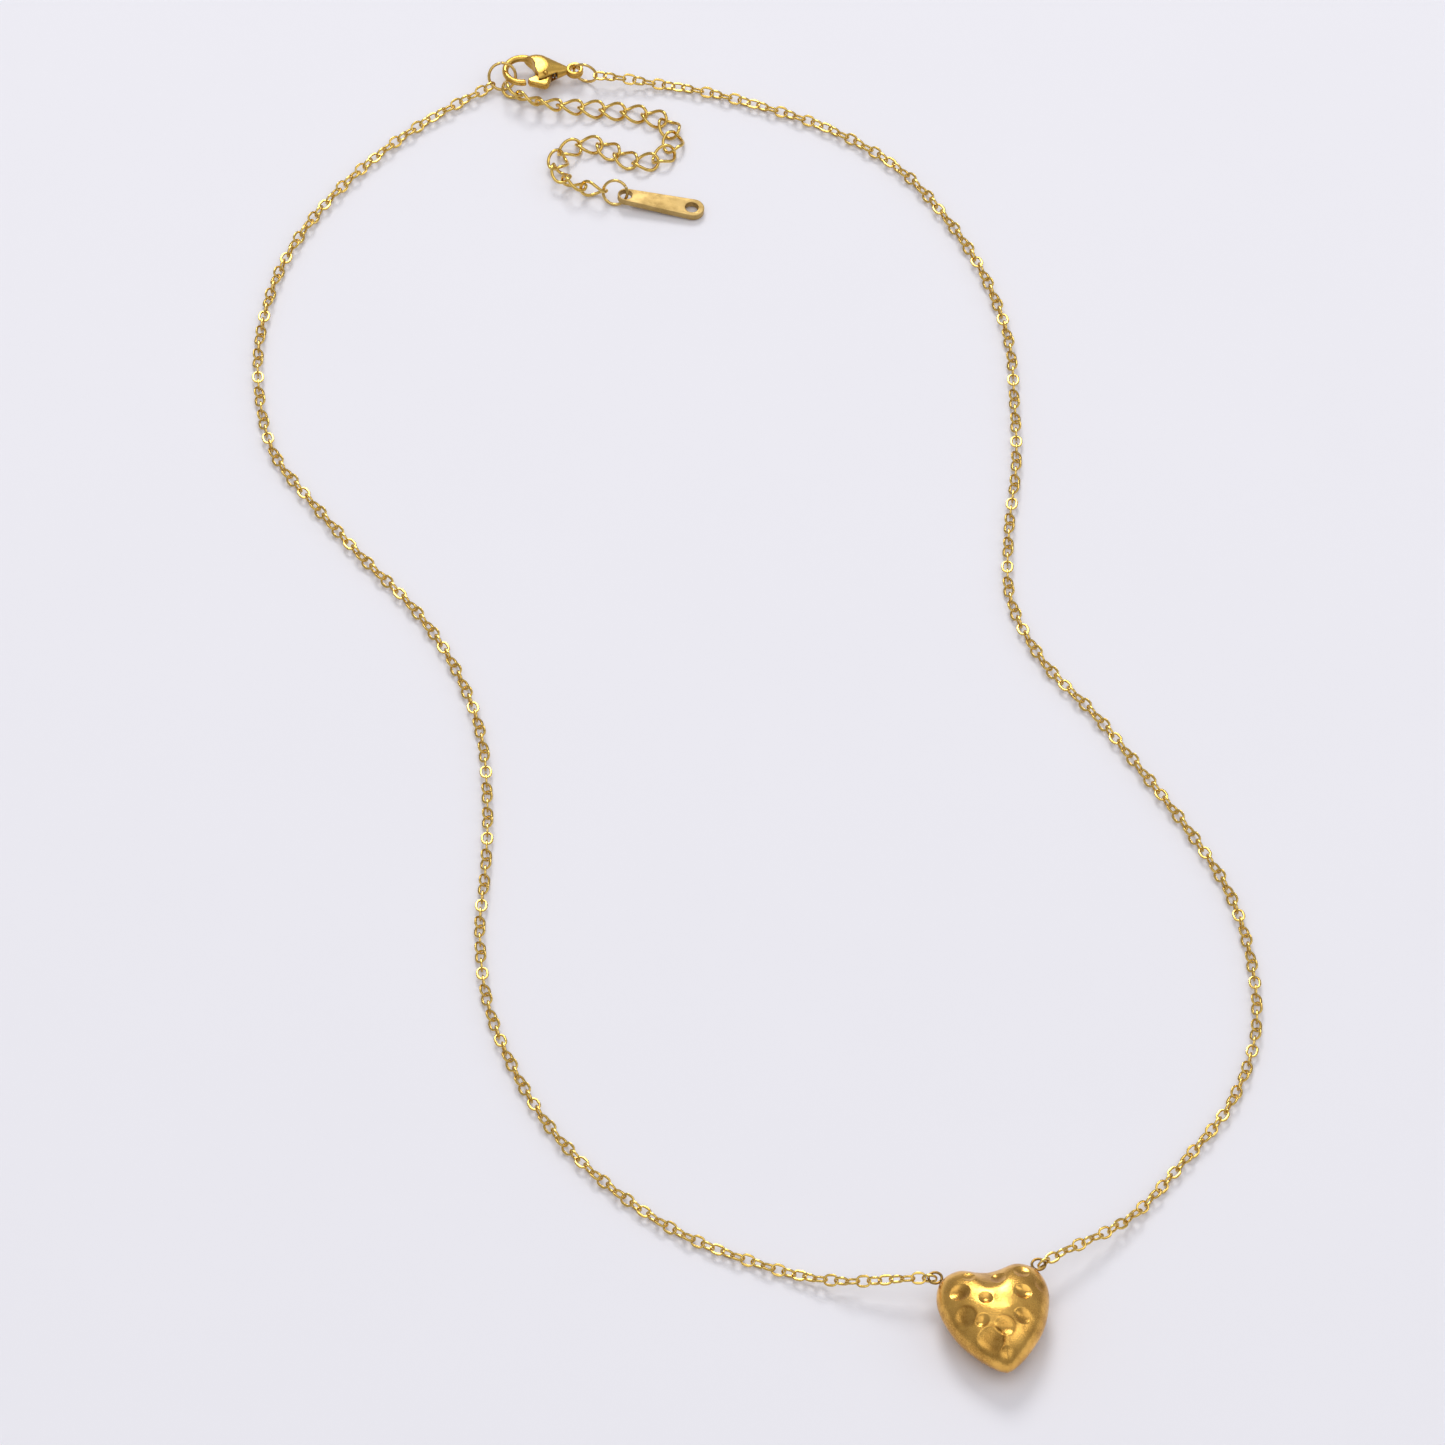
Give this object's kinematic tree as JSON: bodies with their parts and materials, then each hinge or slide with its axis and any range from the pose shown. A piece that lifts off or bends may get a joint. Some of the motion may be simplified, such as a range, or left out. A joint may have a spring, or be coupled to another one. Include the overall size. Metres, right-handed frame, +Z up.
{
  "type": "pendant necklace",
  "caption": "Fine cable-chain necklace, clasped closed, with a hammered puffy heart, a lobster clasp and an extender chain that ends in a flat tag.",
  "frame": {"origin": "middle of the footprint of the closed necklace, on the table that it lies on", "axes": "+Z up from the table, +Y from the heart towards the clasp, +X to the right"},
  "size_m": [0.1119, 0.1873, 0.006],
  "materials": {
    "chain_gold": "polished yellow-gold plate",
    "heart_gold": "satin, finely granular gold plate",
    "clasp_gold": "polished yellow-gold plate",
    "ring_gold": "polished yellow-gold wire",
    "extender_gold": "polished yellow-gold wire",
    "tag_gold": "brushed face, polished edges",
    "spring_steel": "bare spring wire"
  },
  "bodies": {
    "loop_lower_left": {"chain_left_lower": "chain_gold", "chain_right_first": "chain_gold"},
    "heart": {"heart_body": "heart_gold", "heart_eye_left": "ring_gold", "heart_eye_right": "ring_gold"},
    "loop_upper_left": {"chain_left_upper": "chain_gold", "end_ring": "ring_gold"},
    "loop_lower_right": {"chain_right_lower": "chain_gold"},
    "loop_upper_right": {"chain_right_upper": "chain_gold", "clasp_ring": "ring_gold", "clasp_body": "clasp_gold", "clasp_pin": "clasp_gold", "clasp_spring": "spring_steel"},
    "gate": {"clasp_gate": "clasp_gold"},
    "extender_01": {"ext_link_01": "extender_gold"},
    "extender_02": {"ext_link_02": "extender_gold"},
    "extender_03": {"ext_link_03": "extender_gold"},
    "extender_04": {"ext_link_04": "extender_gold"},
    "extender_05": {"ext_link_05": "extender_gold"},
    "extender_06": {"ext_link_06": "extender_gold"},
    "extender_07": {"ext_link_07": "extender_gold"},
    "extender_08": {"ext_link_08": "extender_gold"},
    "extender_09": {"ext_link_09": "extender_gold"},
    "extender_10": {"ext_link_10": "extender_gold"},
    "extender_11": {"ext_link_11": "extender_gold"},
    "extender_12": {"ext_link_12": "extender_gold"},
    "extender_13": {"ext_link_13": "extender_gold"},
    "extender_14": {"ext_link_14": "extender_gold"},
    "extender_15": {"ext_link_15": "extender_gold"},
    "extender_16": {"ext_link_16": "extender_gold"},
    "extender_17": {"ext_link_17": "extender_gold"},
    "extender_18": {"ext_link_18": "extender_gold"},
    "extender_19": {"ext_link_19": "extender_gold"},
    "extender_20": {"ext_link_20": "extender_gold"},
    "tag_ring_body": {"tag_ring": "ring_gold"},
    "tag": {"tag_plate": "tag_gold"}
  },
  "joints": [
    {"name": "loop_fold", "type": "hinge", "parent": "loop_lower_left", "child": "loop_upper_left", "pos_m": [-0.02792, -0.02233, 0.0007], "axis": [0, 0, 1], "range_deg": [-6, 6]},
    {"name": "loop_fold_right", "type": "hinge", "parent": "loop_lower_left", "child": "loop_lower_right", "pos_m": [0.03197, -0.07946, 0.003], "axis": [0, 0, 1], "range_deg": [-6, 6]},
    {"name": "loop_fold_clasp", "type": "hinge", "parent": "loop_lower_right", "child": "loop_upper_right", "pos_m": [0.03109, 0.03453, 0.0007], "axis": [0, 0, 1], "range_deg": [-6, 6]},
    {"name": "heart_tilt", "type": "hinge", "parent": "loop_lower_left", "child": "heart", "pos_m": [0.02551, -0.08088, 0.003], "axis": [0.9877, 0.1564, 0], "range_deg": [-30, 30]},
    {"name": "gate_hinge", "type": "hinge", "parent": "loop_upper_right", "child": "gate", "pos_m": [-0.02293, 0.09025, 0.0016], "axis": [0, 0, -1], "range_deg": [0, 25], "stiffness_Nm_per_rad": 0.0002, "springref_deg": -17.19},
    {"name": "extender_joint_01", "type": "hinge", "parent": "loop_upper_left", "child": "extender_01", "pos_m": [-0.02768, 0.08911, 0.00107], "axis": [0, 0, -1], "range_deg": [-10, 0]},
    {"name": "extender_joint_02", "type": "hinge", "parent": "extender_01", "child": "extender_02", "pos_m": [-0.02607, 0.08744, 0.00173], "axis": [0, 0, 1], "range_deg": [-25, 5]},
    {"name": "extender_joint_03", "type": "hinge", "parent": "extender_02", "child": "extender_03", "pos_m": [-0.02372, 0.08663, 0.00139], "axis": [0, 0, -1], "range_deg": [-10, 25]},
    {"name": "extender_joint_04", "type": "hinge", "parent": "extender_03", "child": "extender_04", "pos_m": [-0.02126, 0.08637, 0.00104], "axis": [0, 0, 1], "range_deg": [-25, 15]},
    {"name": "extender_joint_05", "type": "hinge", "parent": "extender_04", "child": "extender_05", "pos_m": [-0.01878, 0.08624, 0.00078], "axis": [0, 0, -1], "range_deg": [-20, 25]},
    {"name": "extender_joint_06", "type": "hinge", "parent": "extender_05", "child": "extender_06", "pos_m": [-0.01629, 0.08602, 0.00065], "axis": [0, 0, 1], "range_deg": [-25, 25]},
    {"name": "extender_joint_07", "type": "hinge", "parent": "extender_06", "child": "extender_07", "pos_m": [-0.01382, 0.08568, 0.00065], "axis": [0, 0, -1], "range_deg": [-25, 25]},
    {"name": "extender_joint_08", "type": "hinge", "parent": "extender_07", "child": "extender_08", "pos_m": [-0.01136, 0.08524, 0.00065], "axis": [0, 0, -1], "range_deg": [-25, 25]},
    {"name": "extender_joint_09", "type": "hinge", "parent": "extender_08", "child": "extender_09", "pos_m": [-0.00904, 0.08431, 0.00065], "axis": [0, 0, 1], "range_deg": [0, 25]},
    {"name": "extender_joint_10", "type": "hinge", "parent": "extender_09", "child": "extender_10", "pos_m": [-0.00779, 0.08214, 0.00065], "axis": [0, 0, 1], "range_deg": [0, 25]},
    {"name": "extender_joint_11", "type": "hinge", "parent": "extender_10", "child": "extender_11", "pos_m": [-0.00813, 0.07966, 0.00065], "axis": [0, 0, -1], "range_deg": [-25, 0]},
    {"name": "extender_joint_12", "type": "hinge", "parent": "extender_11", "child": "extender_12", "pos_m": [-0.00993, 0.07793, 0.00065], "axis": [0, 0, -1], "range_deg": [-25, 0]},
    {"name": "extender_joint_13", "type": "hinge", "parent": "extender_12", "child": "extender_13", "pos_m": [-0.01242, 0.07767, 0.00065], "axis": [0, 0, -1], "range_deg": [-25, 0]},
    {"name": "extender_joint_14", "type": "hinge", "parent": "extender_13", "child": "extender_14", "pos_m": [-0.01454, 0.07899, 0.00065], "axis": [0, 0, -1], "range_deg": [-25, 25]},
    {"name": "extender_joint_15", "type": "hinge", "parent": "extender_14", "child": "extender_15", "pos_m": [-0.01651, 0.08053, 0.00065], "axis": [0, 0, 1], "range_deg": [-25, 0]},
    {"name": "extender_joint_16", "type": "hinge", "parent": "extender_15", "child": "extender_16", "pos_m": [-0.01901, 0.08053, 0.00065], "axis": [0, 0, -1], "range_deg": [0, 25]},
    {"name": "extender_joint_17", "type": "hinge", "parent": "extender_16", "child": "extender_17", "pos_m": [-0.02098, 0.07899, 0.00078], "axis": [0, 0, -1], "range_deg": [0, 25]},
    {"name": "extender_joint_18", "type": "hinge", "parent": "extender_17", "child": "extender_18", "pos_m": [-0.02158, 0.07659, 0.00108], "axis": [0, 0, -1], "range_deg": [0, 25]},
    {"name": "extender_joint_19", "type": "hinge", "parent": "extender_18", "child": "extender_19", "pos_m": [-0.02057, 0.07432, 0.00139], "axis": [0, 0, -1], "range_deg": [0, 25]},
    {"name": "extender_joint_20", "type": "hinge", "parent": "extender_19", "child": "extender_20", "pos_m": [-0.01836, 0.07315, 0.00139], "axis": [0, 0, -1], "range_deg": [-20, 25]},
    {"name": "tag_ring_swivel", "type": "hinge", "parent": "extender_20", "child": "tag_ring_body", "pos_m": [-0.01581, 0.07265, 0.00139], "axis": [0, 0, 1], "range_deg": [-20, 25]},
    {"name": "tag_swivel", "type": "hinge", "parent": "tag_ring_body", "child": "tag", "pos_m": [-0.01342, 0.072, 0.00111], "axis": [0, 0, 1], "range_deg": [-25, 25]}
  ],
  "couplings": [
    {"joint": "loop_fold_right", "follows": "loop_fold", "ratio": 1},
    {"joint": "loop_fold_clasp", "follows": "loop_fold", "ratio": -1}
  ]
}
